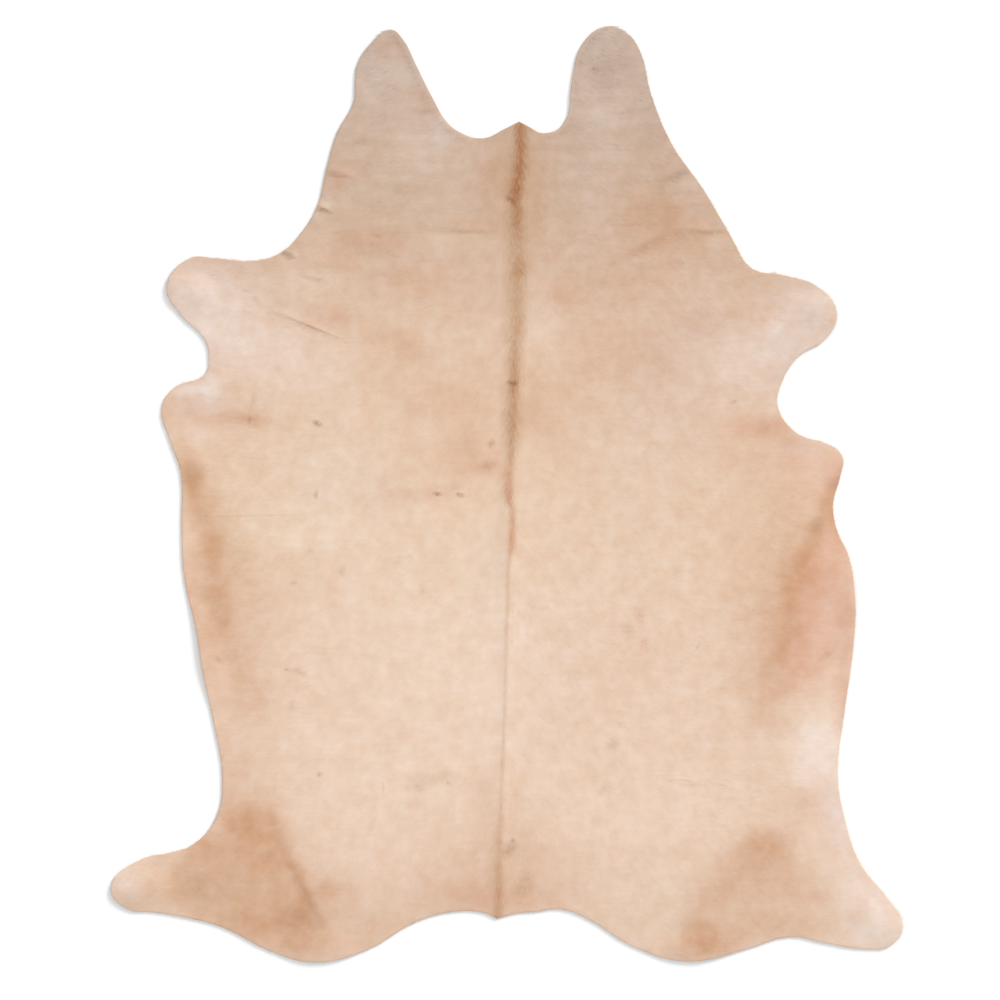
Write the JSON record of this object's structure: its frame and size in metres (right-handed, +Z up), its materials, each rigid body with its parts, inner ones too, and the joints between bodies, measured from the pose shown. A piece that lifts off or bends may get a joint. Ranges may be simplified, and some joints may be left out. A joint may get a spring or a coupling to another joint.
{
  "type": "cowhide rug",
  "caption": "Whole natural cowhide laid flat as a rug, hair side up, with neck flaps, fore and hind shanks, belly edges and a tail point, in light beige.",
  "frame": {"origin": "on the surface that the hide lies on, under the middle of its outline's box", "axes": "+Y along the backbone from the tail to the neck, +X to the right seen from above, +Z up from the underside to the hair"},
  "size_m": [1.8045, 2.1332, 0.0085],
  "materials": {
    "hide": "short smooth hair, soft sheen"
  },
  "bodies": {
    "root": {"hide": "hide"}
  },
  "joints": []
}
